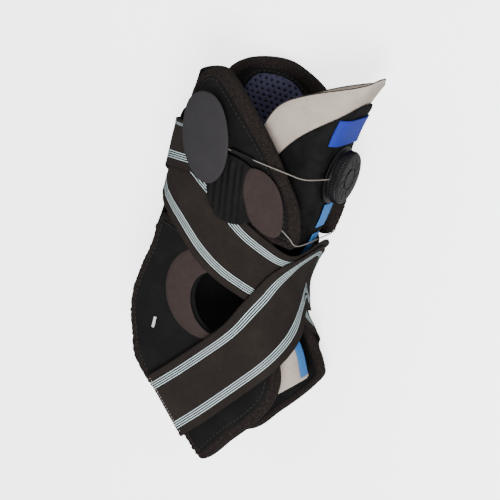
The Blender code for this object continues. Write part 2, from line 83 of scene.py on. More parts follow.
# Rear x and y, front x and y, half width, and the powers that square off the rear and the front.
SECTIONS = [
    (-56, 190, 82, 207, 32, 2.4, 3.0),
    (-58, 145, 60, 150, 33, 2.4, 5.0),
    (-60, 115, 55.3, 115, 33, 2.4, 6.0),
    (-60, 80, 55, 84, 32, 2.4, 5.5),
    (-60, 50, 50.5, 58, 31.5, 2.4, 4.0),
    (-63, 20, 45, 40, 31.5, 2.4, 3.0),
    (-68, -10, 44.5, 22, 32, 2.4, 2.6),
    (-67, -35, 48, 8, 32, 2.6, 2.6),
    (-57, -57, 52, -2, 32, 3.4, 2.6),
    sole_section(7, 58, -11, 32.5),
    sole_section(32, 66, -21, 33),
    sole_section(60, 72.5, -33, 34),
    sole_section(88, 79, -46, 35),
    sole_section(112, 85, -60, 36),
]
TONGUE_HALF_WIDTHS = [(w,) for w in (28, 29, 29.4, 28, 24, 21, 20, 20, 21, 22, 24, 26, 28, 30)]


def catmull(a, b, c, d, f):
    a, b, c, d = (np.asarray(p, float) for p in (a, b, c, d))
    return 0.5 * (2 * b + (c - a) * f + (2 * a - 5 * b + 4 * c - d) * f ** 2
                  + (3 * b - 3 * c + d - a) * f ** 3)


def along(points, t):
    """A smooth curve through points, at t counted in points."""
    last = len(points) - 1
    i = min(max(int(math.floor(t)), 0), last - 1)
    before, after = points[max(i - 1, 0)], points[min(i + 2, last)]
    return catmull(before, points[i], points[i + 1], after, t - i)


def sampled(points, steps=STEPS_PER_POINT):
    """The curve's places, as (t values, rows), for reading between them."""
    t = np.linspace(0, len(points) - 1, (len(points) - 1) * steps + 1)
    return t, np.array([along(points, x) for x in t])


SECTION_T, SECTION_ROWS = sampled(SECTIONS)
WIDTH_T, WIDTH_ROWS = sampled(TONGUE_HALF_WIDTHS)


def section(u):
    return [np.interp(u, SECTION_T, SECTION_ROWS[:, k]) for k in range(7)]


def squeeze(v):
    """Layers are pressed thinner over the instep's middle than at the sides."""
    away = np.abs((v + 180.0) % 360.0 - 180.0)
    f = np.clip((away - 20.0) / 35.0, 0.0, 1.0)
    return FRONT_SQUEEZE + (1.0 - FRONT_SQUEEZE) * f * f * (3.0 - 2.0 * f)


def sleeve(u, v, out, half_width=None):
    u, v, out = np.broadcast_arrays(*(np.asarray(a, float) for a in (u, v, out)))
    rear_x, rear_y, front_x, front_y, width, rear_power, front_power = section(u)
    half_width = width if half_width is None else half_width
    out = np.where(out > 0, out * squeeze(v), out)
    c, s = np.cos(np.radians(v)), np.sin(np.radians(v))
    power = np.where(c > 0, front_power, rear_power)
    r = (np.abs(c) ** power + np.abs(s) ** power) ** (-1.0 / power)
    line_x, line_y = (front_x - rear_x) / 2, (front_y - rear_y) / 2
    length = np.hypot(line_x, line_y)
    reach = c * r * (length + out) / length
    x = (rear_x + front_x) / 2 + line_x * reach
    y = (rear_y + front_y) / 2 + line_y * reach
    return np.stack([x, y, s * r * (half_width + out)], -1)


def tongue(u, v, out):
    return sleeve(u, v, out, np.interp(u, WIDTH_T, WIDTH_ROWS[:, 0]))


def side_spots(x, y):
    """The (u, v) on the near side of side view places."""
    x, y = np.asarray(x, float), np.asarray(y, float)
    low, high = np.zeros(x.shape), np.full(x.shape, len(SECTIONS) - 1.0)
    for _ in range(32):
        u = (low + high) / 2
        rear_x, rear_y, front_x, front_y, _, rear_power, front_power = section(u)
        line_x, line_y = front_x - rear_x, front_y - rear_y
        spot_x, spot_y = x - rear_x, y - rear_y
        above = line_x * spot_y - line_y * spot_x < 0
        low, high = np.where(above, u, low), np.where(above, high, u)
    q = 2 * (spot_x * line_x + spot_y * line_y) / (line_x ** 2 + line_y ** 2) - 1
    q = np.clip(q, -0.995, 0.995)
    power = np.where(q > 0, front_power, rear_power)
    v = np.degrees(np.arctan((np.maximum(np.abs(q), 1e-6) ** -power - 1) ** (1 / power)))
    return u, np.where(q >= 0, v, 180.0 - v)


def section_at(height, column, sections):
    """The u where a column of the first few sections comes down to a height."""
    count = sections * STEPS_PER_POINT
    return np.interp(-height, -SECTION_ROWS[:count, column], SECTION_T[:count])


def front_section(height):
    return section_at(height, 3, 5)


def rear_section(height):
    return section_at(height, 1, 6)


DIAL_FOOT = tongue(front_section(DIAL_HEIGHT_UP_LEG), 0, -2.6)
AXLE_LOW, AXLE_HIGH = (np.array(corner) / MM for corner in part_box("dial_axle"))
AXLE_BASE = 2.2
GROUND_POINT = DIAL_FOOT + (AXLE_BASE, 0, 0) - (AXLE_LOW * (1, .5, .5) + AXLE_HIGH * (0, .5, .5))


def to_world(points):
    return (np.asarray(points) - GROUND_POINT) * MM


def slopes(u, v):
    step_u, step_v = 0.02, 0.5
    along_u = (sleeve(u + step_u, v, 0) - sleeve(u - step_u, v, 0)) / (2 * step_u)
    along_v = (sleeve(u, v + step_v, 0) - sleeve(u, v - step_v, 0)) / (2 * step_v)
    return along_u, along_v


def unit(vectors):
    return vectors / np.maximum(np.linalg.norm(vectors, axis=-1, keepdims=True), 1e-12)


def walk(u, v, heading, distance, steps=6):
    """Go straight over the sleeve from each (u, v), heading a way in space, for a distance."""
    for _ in range(steps):
        along_u, along_v = slopes(u, v)
        normal = unit(np.cross(along_u, along_v))
        heading = unit(heading - normal * (heading * normal).sum(-1, keepdims=True))
        uu, uv, vv = ((a * b).sum(-1) for a, b in
                      ((along_u, along_u), (along_u, along_v), (along_v, along_v)))
        hu, hv = (heading * along_u).sum(-1), (heading * along_v).sum(-1)
        det = uu * vv - uv * uv
        u = u + (hu * vv - hv * uv) / det * distance / steps
        v = v + (hv * uu - hu * uv) / det * distance / steps
    return u, v


def ripple(x, y, size, seed):
    """Smooth unevenness between about -1 and 1, from a few crossing waves of about a size."""
    chance = np.random.default_rng(seed)
    total = np.zeros(np.broadcast(x, y).shape)
    for _ in range(7):
        angle, phase = chance.uniform(0, 2 * math.pi, 2)
        stretch = chance.uniform(.6, 1.7)
        k = 2 * math.pi / (size * stretch)
        total = total + np.sin((x * math.cos(angle) + y * math.sin(angle)) * k + phase)
    return total / 3.2


# --- meshes -----------------------------------------------------------------------------------

def crowded(count):
    """Places from 0 to 1 that stand closer together towards both ends."""
    return (1 - np.cos(np.linspace(0, math.pi, count))) / 2


def crowded_across(count):
    """Places from -1 to 1 that stand closer together towards both ends."""
    return np.sin(np.linspace(-math.pi / 2, math.pi / 2, count))


def halves(layer):
    """A layer's middle height and half its thickness."""
    low, high = layer
    return (low + high) / 2, (high - low) / 2


def make_piece(name, points, faces, look_name, body, cloth=None):
    """An object from points in the brace's frame; cloth holds millimetres along and across."""
    points = np.asarray(points).reshape(-1, 3)
    used = np.unique([c for face in faces for c in face])
    renumber = np.zeros(len(points), int)
    renumber[used] = np.arange(len(used))
    mesh = bpy.data.meshes.new(name)
    corners = [renumber[list(face)].tolist() for face in faces]
    mesh.from_pydata(to_world(points[used]).tolist(), [], corners)
    if cloth is not None:
        set_cloth(mesh, np.asarray(cloth).reshape(-1, 3)[used])
    bm = bmesh.new()
    bm.from_mesh(mesh)
    bmesh.ops.recalc_face_normals(bm, faces=bm.faces)
    bm.to_mesh(mesh)
    bm.free()
    mesh.shade_smooth()
    mesh.materials.append(LOOKS[look_name])
    piece = bpy.data.objects.new(name, mesh)
    bpy.context.collection.objects.link(piece)
    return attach(piece, body) if body else piece


def set_cloth(mesh, values):
    layer = mesh.attributes.get("cloth") or mesh.attributes.new("cloth", "FLOAT_VECTOR", "POINT")
    layer.data.foreach_set("vector", values.astype(np.float32).ravel())


def grid_faces(index, wrap=False):
    columns = index.shape[1]
    faces = []
    for upper, lower in zip(index.tolist(), index[1:].tolist()):
        for j in range(columns if wrap else columns - 1):
            k = (j + 1) % columns
            corners = tuple(dict.fromkeys((upper[j], upper[k], lower[k], lower[j])))
            if len(corners) > 2:
                faces.append(corners)
    return faces


def capped_faces(index):
    """The faces of a closed rod or drum, from its rings of corners."""
    return grid_faces(index, wrap=True) + [tuple(index[0].tolist()), tuple(index[-1].tolist())]


def rod(name, rings, look_name, body):
    index = np.arange(rings.shape[0] * rings.shape[1]).reshape(rings.shape[:2])
    return make_piece(name, rings, capped_faces(index), look_name, body)


def sheet(name, top, bottom, look_name, body, cloth, wrap=False, disc=False):
    """A closed sheet between two grids of points, whose first rows meet in one spot if disc."""
    rows, columns = top.shape[:2]
    index = np.arange(rows * columns).reshape(rows, columns)
    if disc:
        index[0, :] = 0
    under = index + rows * columns
    faces = grid_faces(index, wrap) + grid_faces(under, wrap)
    for i in ((rows - 1,) if disc else (0, rows - 1)):
        faces += grid_faces(np.stack([index[i], under[i]]), wrap)
    if not wrap:
        for j in (0, columns - 1):
            faces += grid_faces(np.stack([index[:, j], under[:, j]]))
    points = np.concatenate([top.reshape(-1, 3), bottom.reshape(-1, 3)])
    cloth = np.concatenate([cloth.reshape(-1, 3)] * 2)
    return make_piece(name, points, faces, look_name, body, cloth)


def rounding(distance, radius):
    """How far a rounded edge has risen, 0 to 1, at a distance in from it."""
    f = np.clip(distance / radius, 0.0, 1.0)
    return np.sqrt(np.maximum(1.0 - (1.0 - f) ** 2, 0.0))


def closed_outline(points, steps=10):
    n = len(points)
    return np.array([
        catmull(points[i - 1], points[i], points[(i + 1) % n], points[(i + 2) % n], k / steps)
        for i in range(n)
        for k in range(steps)
    ])


def evenly(points, count, closed=True):
    """count places evenly spaced along a line of points."""
    line = np.vstack([points, points[:1]]) if closed else np.asarray(points)
    length = np.concatenate([[0], np.cumsum(np.linalg.norm(np.diff(line, axis=0), axis=1))])
    wanted = np.linspace(0, length[-1], count, endpoint=not closed)
    return np.stack([np.interp(wanted, length, line[:, k]) for k in range(line.shape[1])], -1)


def smooth_outline(points, count):
    return evenly(closed_outline(points), count)


def inward_ways(outline):
    """The directions that point into a closed outline, one at each of its places."""
    inward = unit(np.roll(outline, -1, 0) - np.roll(outline, 1, 0))[:, ::-1] * (-1, 1)
    return inward if (inward * (outline.mean(0) - outline)).sum() >= 0 else -inward


def inset(outline, distance):
    """An outline moved inwards."""
    return outline + inward_ways(outline) * distance


def reaches(outline, centre, sectors):
    """Rays from the centre and how far each goes to a closed outline."""
    a, b = outline - centre, np.roll(outline, -1, 0) - centre
    edge = b - a
    angle = np.arange(sectors) * 2 * math.pi / sectors
    ray = np.stack([np.cos(angle), np.sin(angle)], 1)
    det = ray[:, None, 1] * edge[None, :, 0] - ray[:, None, 0] * edge[None, :, 1]
    det = np.where(np.abs(det) < 1e-9, 1e-9, det)
    far = (a[:, 1] * edge[:, 0] - a[:, 0] * edge[:, 1])[None] / det
    part = (ray[:, None, 0] * a[None, :, 1] - ray[:, None, 1] * a[None, :, 0]) / det
    far = np.where((far > 0) & (part > -1e-6) & (part < 1 + 1e-6), far, 0.0)
    return ray, far.max(1)


def panel(name, centre, inner, outer, layer, look_name, body, side, sectors=144, rings=22,
          edge=1.6, dome=0.0, uneven=(0.0, 10.0), relief=None):
    """A rounded sheet between two closed outlines, or from its middle if inner is None.

    layer holds its lower and upper heights over the sleeve, dome how much its middle swells,
    and uneven the height and size of its unevenness.
    """
    centre = np.array(centre, float)
    ray, far = reaches(outer, centre, sectors)
    near = reaches(inner, centre, sectors)[1] if inner is not None else np.zeros(sectors)
    share = crowded(rings + 1)
    if inner is None:
        share = np.sin(np.linspace(0.0, math.pi / 2, rings + 1))
    reach = near[None] + (far - near)[None] * share[:, None]
    x = centre[0] + ray[:, 0] * reach
    y = centre[1] + ray[:, 1] * reach
    rise = rounding(far[None] - reach, edge)
    if inner is not None:
        rise = np.minimum(rise, rounding(reach - near[None], edge))
    middle, half = halves(layer)
    lift = dome * (1 - (reach / far) ** 2) + uneven[0] * ripple(x, y, uneven[1], len(name)) * rise
    if relief:
        lift = lift + relief(x, y) * rise
    u, v = side_spots(x, y)
    top = sleeve(u, v * side, middle + half * rise + lift)
    bottom = sleeve(u, v * side, middle - half * rise)
    cloth = np.stack([x, y, np.zeros_like(x)], -1)
    return sheet(name, top, bottom, look_name, body, cloth, wrap=True, disc=inner is None)


def edge_roll(name, outline, width_rule, body, side, layer=(-1.2, 7.2)):
    """A velour binding that wraps an outline: two soft ridges with a stitched groove between."""
    count, groove, groove_depth = 300, 0.45, 1.5
    path = evenly(outline, count)
    inward = inward_ways(path)
    share = crowded(15)
    round_edge = (1 - np.abs(2 * share - 1) ** 3) ** 0.5
    crease = np.exp(-((share - groove) / 0.07) ** 2)
    width = width_rule(path)
    x = path[:, :1] + inward[:, :1] * width[:, None] * share
    y = path[:, 1:] + inward[:, 1:] * width[:, None] * share
    gather = 0.35 * ripple(x * 3 + y, y * 3 - x, 9.0, len(name)) + 0.2 * ripple(x, y, 3.0, 5)
    middle, half = halves(layer)
    u, v = side_spots(x, y)
    v = v * side
    top = sleeve(u, v, middle + (half + gather) * round_edge - groove_depth * crease)
    bottom = sleeve(u, v, middle - half * round_edge)
    loop = np.concatenate([top, bottom[:, -2:0:-1]], 1)
    distance = np.arange(count)[:, None] * np.linalg.norm(path[1] - path[0]) + 0 * loop[..., 0]
    across = np.concatenate([share, 2 - share[-2:0:-1]])[None] * width[:, None]
    cloth = np.stack([distance, across, 0 * across], -1)
    index = np.arange(loop.shape[0] * loop.shape[1]).reshape(loop.shape[:2])
    rows = np.vstack([index, index[:1]])
    return make_piece(name, loop, grid_faces(rows, wrap=True), "binding", body, cloth)


def swept(points, normals, radius, sides=8, squash=1.0):
    """Rings of points round a path, each a little ellipse that is flatter along its normal."""
    way = unit(np.gradient(points, axis=0))
    across = unit(np.cross(way, normals))
    out = np.cross(across, way)
    angle = np.arange(sides) * 2 * math.pi / sides
    return (points[:, None] + across[:, None] * np.cos(angle)[None, :, None] * radius
            + out[:, None] * np.sin(angle)[None, :, None] * radius * squash)


def stitches(name, points, normals, body, look_name="thread", length=2.4, gap=1.1, radius=0.28,
             swing=0.0):
    """A row of thread stitches along a path; with a swing they zigzag across it."""
    run = np.linalg.norm(np.diff(points, axis=0), axis=1).sum()
    count = max(int(run / (length + gap)), 1)
    spots = evenly(np.hstack([points, normals]), count * 2 + 1, closed=False)
    places, ups = spots[:, :3], unit(spots[:, 3:])
    way = unit(np.gradient(places, axis=0))
    across = np.cross(way, ups)
    share = np.array([0.0, 0.15, 0.5, 0.85, 1.0])[:, None]
    swell = np.array([0.15, 0.8, 1.0, 0.8, 0.15])
    rings_each, sides = len(swell), 6
    all_points, faces = [], []
    for i in range(count):
        a, b = places[2 * i], places[2 * i + 1]
        b = a + unit(b - a) * length
        if swing:
            lean = swing * (1 if i % 2 else -1)
            a, b = a - across[2 * i] * lean, b + across[2 * i] * lean
        line = a + (b - a) * share + ups[2 * i] * radius * (swell[:, None] - 0.6)
        rings = swept(line, ups[2 * i], 1.0, sides)
        rings = line[:, None] + (rings - line[:, None]) * radius * swell[:, None, None]
        first = i * rings_each * sides
        faces += capped_faces(np.arange(rings_each * sides).reshape(rings_each, sides) + first)
        all_points.append(rings.reshape(-1, 3))
    return make_piece(name, np.concatenate(all_points), faces, look_name, body)


def seam(name, outline, out, side, body, count=400, facing=1):
    """Stitches along a closed outline on the sleeve, facing out, or in if facing is -1."""
    places = evenly(outline, count)
    u, v = side_spots(places[:, 0], places[:, 1])
    points = sleeve(u, v * side, out)
    ups = unit(sleeve(u, v * side, out + 1.0) - points)
    stitches(name + "_stitches", points, ups * facing, body)


# --- materials --------------------------------------------------------------------------------

def node(tree, kind, inputs=(), **settings):
    """Add a node; inputs are (socket, value or other socket) pairs."""
    made = tree.nodes.new(kind)
    for key, value in settings.items():
        setattr(made, key, value)
    for socket, value in inputs:
        if isinstance(value, bpy.types.NodeSocket):
            tree.links.new(value, made.inputs[socket])
        else:
            made.inputs[socket].default_value = value
    return made


def calc(tree, operation, a, b=0.0, c=0.0):
    made = node(tree, "ShaderNodeMath", ((0, a), (1, b), (2, c)), operation=operation)
    return made.outputs[0]


def noise(tree, scale, detail=3.0, stretch=(1, 1, 1)):
    """Noise over the piece, with a scale in grains per metre."""
    vector = node(tree, "ShaderNodeTexCoord").outputs["Object"]
    placed = node(tree, "ShaderNodeMapping", (("Vector", vector), ("Scale", stretch)))
    made = node(tree, "ShaderNodeTexNoise", (("Vector", placed.outputs[0]), ("Scale", scale),
                                             ("Detail", detail), ("Roughness", 0.6)))
    return made.outputs["Fac"]


def cloth_spot(tree):
    """Millimetres along and across the piece's own cloth, and how deep it is in a hole."""
    spot = node(tree, "ShaderNodeAttribute", attribute_name="cloth")
    parts = node(tree, "ShaderNodeSeparateXYZ", ((0, spot.outputs["Vector"]),))
    return parts.outputs


def wave(tree, value, period):
    """0 to 1 and back over each period."""
    turned = calc(tree, "MULTIPLY", value, 2 * math.pi / period)
    return calc(tree, "MULTIPLY_ADD", calc(tree, "SINE", turned), 0.5, 0.5)


def mixed(tree, share, *colours):
    """A mix of two colours, each a socket or red, green and blue."""
    first, second = (c if isinstance(c, bpy.types.NodeSocket) else (*c, 1.0) for c in colours)
    inputs = ((0, share), (6, first), (7, second))
    return node(tree, "ShaderNodeMix", inputs, data_type="RGBA").outputs[2]


def spread(tree, value, low, high):
    """Stretch the values between low and high to 0 to 1."""
    made = node(tree, "ShaderNodeMapRange", ((0, value), (1, low), (2, high)))
    return made.outputs[0]


def look(name, roughness, sheen=0.0, sheen_colour=(1, 1, 1), specular=0.5, metallic=0.0):
    """A new material with the values that are the same all over it."""
    made = bpy.data.materials.new(name)
    made.use_nodes = True
    inputs = made.node_tree.nodes["Principled BSDF"].inputs
    for socket, value in (
            ("Roughness", roughness), ("Metallic", metallic), ("Specular IOR Level", specular),
            ("Sheen Weight", sheen), ("Sheen Roughness", 0.45),
            ("Sheen Tint", (*sheen_colour, 1.0))):
        inputs[socket].default_value = value
    return made, made.node_tree


def dressed(made, colour, height, depth):
    """Give a material its colour, and its surface relief in millimetres."""
    tree = made.node_tree
    shader = tree.nodes["Principled BSDF"]
    tree.links.new(colour, shader.inputs["Base Color"])
    relief = node(tree, "ShaderNodeBump", (("Strength", 1.0), ("Distance", depth * MM),
                                           ("Height", height)))
    tree.links.new(relief.outputs[0], shader.inputs["Normal"])
    return made


def velour(name, dark, pale, sheen=0.5):
    made, tree = look(name, 0.95, sheen, pale, specular=0.08)
    pile = noise(tree, 2600, 4.0)
    tufts = noise(tree, 900, 3.0)
    shade = mixed(tree, spread(tree, pile, 0.35, 0.7), dark, pale)
    brushed = mixed(tree, spread(tree, tufts, 0.3, 0.75), dark, shade)
    return dressed(made, brushed, calc(tree, "ADD", pile, tufts), 0.45)


def knit(name, dark, pale, roughness=0.75, sheen=0.15, rib=0.8):
    made, tree = look(name, roughness, sheen, pale, specular=0.1)
    x, y, _ = cloth_spot(tree)
    weave = calc(tree, "MULTIPLY", wave(tree, x, rib), wave(tree, y, rib * 0.8))
    patches = noise(tree, 60, 2.0)
    shade = mixed(tree, calc(tree, "MULTIPLY", weave, 0.6), dark, pale)
    worn = mixed(tree, spread(tree, patches, 0.45, 0.75), shade, pale)
    return dressed(made, mixed(tree, 0.35, shade, worn), calc(tree, "ADD", weave, patches), 0.12)


def suede(name, dark, pale):
    made, tree = look(name, 0.95, 0.06, pale, specular=0.08)
    grain = noise(tree, 3200, 3.0)
    mottle = noise(tree, 110, 4.0)
    shade = mixed(tree, spread(tree, grain, 0.25, 0.8), dark, pale)
    brushed = mixed(tree, spread(tree, mottle, 0.2, 1.0), dark, shade)
    return dressed(made, mixed(tree, 0.5, shade, brushed), grain, 0.16)


def webbing(name):
    """Dark elastic with two bands, each of four pale lines on teal."""
    made, tree = look(name, 0.9, 0.02, (0.3, 0.26, 0.23), specular=0.08)
    x, y, _ = cloth_spot(tree)
    rib = wave(tree, x, 0.7)
    heather = noise(tree, 2600, 3.0)
    cloudy = noise(tree, 55, 3.0)
    ground = mixed(tree, spread(tree, heather, 0.35, 0.75), (0.008, 0.0062, 0.0055),
                   (0.024, 0.019, 0.0165))
    worn = mixed(tree, spread(tree, cloudy, 0.45, 0.8), ground, (0.02, 0.016, 0.014))
    pitch, line_share = STRAP_LINE_PITCH, 0.19
    from_band = calc(tree, "SUBTRACT", calc(tree, "ABSOLUTE", y), STRAP_BAND_MIDDLE)
    in_band = calc(tree, "LESS_THAN", calc(tree, "ABSOLUTE", from_band), pitch * 2 - 0.25)
    counted = calc(tree, "DIVIDE", calc(tree, "ADD", from_band, pitch * 20), pitch)
    off_line = calc(tree, "SUBTRACT", calc(tree, "FRACT", counted), 0.5)
    line = calc(tree, "LESS_THAN", calc(tree, "ABSOLUTE", off_line), line_share)
    teal = mixed(tree, rib, (0.003, 0.008, 0.011), (0.006, 0.016, 0.02))
    thread = mixed(tree, wave(tree, x, 1.8), (0.36, 0.45, 0.47), (0.6, 0.7, 0.7))
    banded = mixed(tree, calc(tree, "MULTIPLY", in_band, 0.85), worn, teal)
    pale = calc(tree, "MULTIPLY", line, in_band)
    colour = mixed(tree, pale, banded, thread)
    return dressed(made, colour, calc(tree, "ADD", rib, calc(tree, "ADD", heather, pale)), 0.14)


def perforated(name):
    """Navy spacer mesh with painted shade in its holes; the cloth's third value is 1 down in a
    hole.
    """
    made, tree = look(name, 0.8, 0.05, (0.25, 0.25, 0.4), specular=0.12)
    x, y, depth = cloth_spot(tree)
    weave = calc(tree, "MULTIPLY", wave(tree, x, 0.7), wave(tree, y, 0.7))
    fuzz = noise(tree, 1800, 3.0)
    ground = mixed(tree, spread(tree, calc(tree, "ADD", weave, fuzz), 0.5, 1.3),
                   (0.018, 0.018, 0.035), (0.065, 0.065, 0.115))
    # painted shade: the deeper down a hole, the nearer the colour comes to black
    hole = calc(tree, "MULTIPLY", spread(tree, depth, 0.25, 0.8), 0.95)
    return dressed(made, mixed(tree, hole, ground, (0.004, 0.004, 0.007)), weave, 0.1)


def fleece(name, dark, pale):
    made, tree = look(name, 1.0, 0.1, pale, specular=0.15)
    pile = noise(tree, 1300, 4.0)
    drift = noise(tree, 90, 2.0)
    shade = mixed(tree, spread(tree, pile, 0.3, 0.7), dark, pale)
    return dressed(made, mixed(tree, spread(tree, drift, 0.3, 0.9), pale, shade), pile, 0.3)


def coated(name, dark, pale, roughness=0.42):
    """A smooth faced fabric with a faint crackle."""
    made, tree = look(name, roughness, specular=0.08)
    grain = noise(tree, 1400, 2.0)
    crease = noise(tree, 120, 3.0)
    shade = mixed(tree, spread(tree, crease, 0.35, 0.75), dark, pale)
    return dressed(made, shade, calc(tree, "ADD", grain, crease), 0.1)


def ribbed(name, dark, pale, period=0.6, roughness=0.6):
    """A woven ribbon with ribs across it."""
    made, tree = look(name, roughness, 0.05, pale, specular=0.25)
    x, y, _ = cloth_spot(tree)
    rib = wave(tree, x, period)
    fine = wave(tree, y, period * 0.55)
    shade = mixed(tree, rib, dark, pale)
    return dressed(made, mixed(tree, calc(tree, "MULTIPLY", fine, 0.3), shade, dark), rib, 0.15)


def moulded(name, dark, pale, roughness=0.45, grain_depth=0.03):
    made, tree = look(name, roughness, specular=0.14)
    grain = noise(tree, 2200, 2.0)
    smear = noise(tree, 70, 3.0)
    shade = mixed(tree, spread(tree, smear, 0.35, 0.75), dark, pale)
    return dressed(made, shade, grain, grain_depth)


def braided(name, dark, pale):
    made, tree = look(name, 0.6, specular=0.2)
    spot = node(tree, "ShaderNodeTexCoord").outputs["Object"]
    braid = node(tree, "ShaderNodeTexVoronoi", (("Vector", spot), ("Scale", 1800.0))).outputs[0]
    return dressed(made, mixed(tree, spread(tree, braid, 0.0, 0.6), dark, pale), braid, 0.1)


def brushed_metal(name):
    made, tree = look(name, 0.3, metallic=1.0)
    scratch = noise(tree, 900, 2.0, stretch=(0.1, 1, 1))
    return dressed(made, mixed(tree, scratch, (0.35, 0.35, 0.36), (0.6, 0.6, 0.6)), scratch, 0.02)


LOOKS = {
    "binding": velour("binding_velour", (0.005, 0.0038, 0.0036), (0.048, 0.038, 0.034), 0.05),
    "shell": knit("shell_knit", (0.003, 0.003, 0.0032), (0.011, 0.0105, 0.0105), 0.8, 0.02),
    "pocket": knit("pocket_knit", (0.0022, 0.002, 0.002), (0.009, 0.008, 0.0075), 0.6, 0.02, 0.6),
    "lining": knit("lining_knit", (0.003, 0.003, 0.0035), (0.013, 0.013, 0.014), 0.9, 0.02, 1.2),
    "suede": suede("ring_suede", (0.015, 0.0105, 0.01), (0.062, 0.045, 0.042)),
    "strap": webbing("strap_webbing"),
    "mesh": perforated("mesh_fabric"),
    "beige": fleece("tongue_fleece", (0.24, 0.195, 0.16), (0.40, 0.34, 0.29)),
    "tongue": coated("tongue_coated", (0.002, 0.002, 0.0022), (0.006, 0.006, 0.0065), 0.7),
    "ribbon": ribbed("blue_ribbon", (0.015, 0.09, 0.32), (0.06, 0.26, 0.62)),
    "label": ribbed("blue_patch", (0.008, 0.02, 0.22), (0.025, 0.05, 0.45), 0.35),
    "tab": moulded("tab_rubber", (0.021, 0.0195, 0.0215), (0.0245, 0.0228, 0.025), 0.8, 0.008),
    "plastic": moulded("dial_plastic", (0.003, 0.003, 0.0033), (0.009, 0.009, 0.01), 0.36),
    "grey_plastic": moulded("inner_plastic", (0.02, 0.02, 0.022), (0.05, 0.05, 0.05), 0.5),
    "lace": braided("lace_braid", (0.05, 0.044, 0.038), (0.2, 0.18, 0.16)),
    "thread": braided("seam_thread", (0.006, 0.005, 0.0045), (0.028, 0.023, 0.02)),
    "pale_thread": braided("pale_thread", (0.12, 0.11, 0.1), (0.38, 0.35, 0.32)),
    "steel": brushed_metal("axle_steel"),
    "tag": ribbed("tag_weave", (0.5, 0.5, 0.48), (0.75, 0.75, 0.73), 0.5, 0.8),
}


def dress(node_name, look_name):
    """Keep a CAD node and give it a better material."""
    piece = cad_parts[node_name]
    for slot in piece.material_slots:
        slot.material = LOOKS[look_name]


# --- the outlines -----------------------------------------------------------------------------

NEAR_PANEL = [
    (-54, 42), (-30, 45), (8, 47), (29, 46), (37, 40), (39, 25), (43, 8), (50, -8), (57, -24),
    (65, -43), (63, -62), (47, -88), (28, -111), (-1, -91), (-34, -69), (-52, -50), (-62, -24),
    (-60, 0), (-56, 20),
]
FAR_TOE_EDGE = [(51, -8), (61, -25), (73, -42), (65, -62), (48, -88)]
FAR_PANEL = NEAR_PANEL[:7] + FAR_TOE_EDGE + NEAR_PANEL[12:]
NEAR_WING = [
    (-55, 56), (-30, 56), (10, 58), (34, 57), (43, 56), (47, 68), (43, 88), (29, 108), (13, 126),
    (-10, 147), (-24, 157), (-35, 160), (-46, 152), (-53, 136), (-55, 100),
]
FAR_WING = [
    (-55, 56), (-30, 56), (10, 58), (34, 57), (43, 56), (48, 70), (45, 98), (34, 126), (16, 150),
    (-4, 161), (-22, 164), (-44, 157), (-54, 140), (-55, 100),
]
WING_CENTRE = (-10.0, 98.0)
NEAR_MESH_PAD = [
    (-44, 92), (-8, 84), (18, 92), (12, 110), (-8, 128), (-26, 142), (-42, 138), (-46, 112),
]
FAR_MESH_PAD = [
    (-42, 90), (-8, 81), (25, 87), (27, 106), (17, 130), (-5, 148), (-20, 152), (-37, 149),
    (-44, 136), (-45, 110),
]
LACE_COVER = [
    (6, 103), (4, 91), (8, 78), (15, 67), (28, 62), (34, 68), (32, 85), (26, 97), (16, 104),
]
TAB_OUTLINE = [
    (-33, 142), (-24, 142), (-16, 134), (-10, 119), (-8, 105), (-9, 93), (-14, 84), (-22, 83),
    (-31, 90), (-38, 101), (-42, 113), (-43, 127), (-40, 136),
]
POCKET = [
    (-6, 107), (6, 104), (12, 98), (13, 84), (14, 68), (4, 61), (-8, 62), (-17, 72), (-21, 88),
    (-20, 102), (-14, 106),
]
STRAP_START = [((-3.5, -81), 1), ((12, -60), 1), ((27, -37), 1), ((38, -15), 1)]
FAR_STRAP_REST = [
    ("front", 15.0), ((40, 26), -1), ((22, 35), -1), ((-4, 47), -1), ((-32, 68), -1),
    ("rear", 93.0), ((-34, 108), -361),
]
NEAR_STRAP_REST = [
    ("front", 11.0), ((40, 15), -1), ((22, 28), -1), ((-4, 44), -1), ((-32, 67), -1),
    ("rear", 93.0), ((-34, 108), -361),
]
LACE_ROUTE = [
    (40, 109.5, 9.0), (27, 109.5, 9.6), (6, 109.5, 9.2), (-8, 110, 9.2), (-15, 108, 8.2),
    (-17, 98, 6.9), (-8, 88, 6.9), (14, 79, 7.0), (30, 72, 7.2), (40, 65, 8.2), (45, 60, 7.2),
]
HOLE_CENTRE = (6.0, 0.0)
RING_CENTRE = (-3.0, 4.0)
ANKLE_TILT = math.radians(25.0)


def oval(semi_x, semi_y, centre=HOLE_CENTRE, count=96):
    """A tilted oval."""
    angle = np.arange(count) * 2 * math.pi / count
    x, y = semi_x * np.cos(angle), semi_y * np.sin(angle)
    c, s = math.cos(ANKLE_TILT), math.sin(ANKLE_TILT)
    return np.stack([centre[0] + x * c - y * s, centre[1] + x * s + y * c], -1)


# --- side panels ------------------------------------------------------------------------------

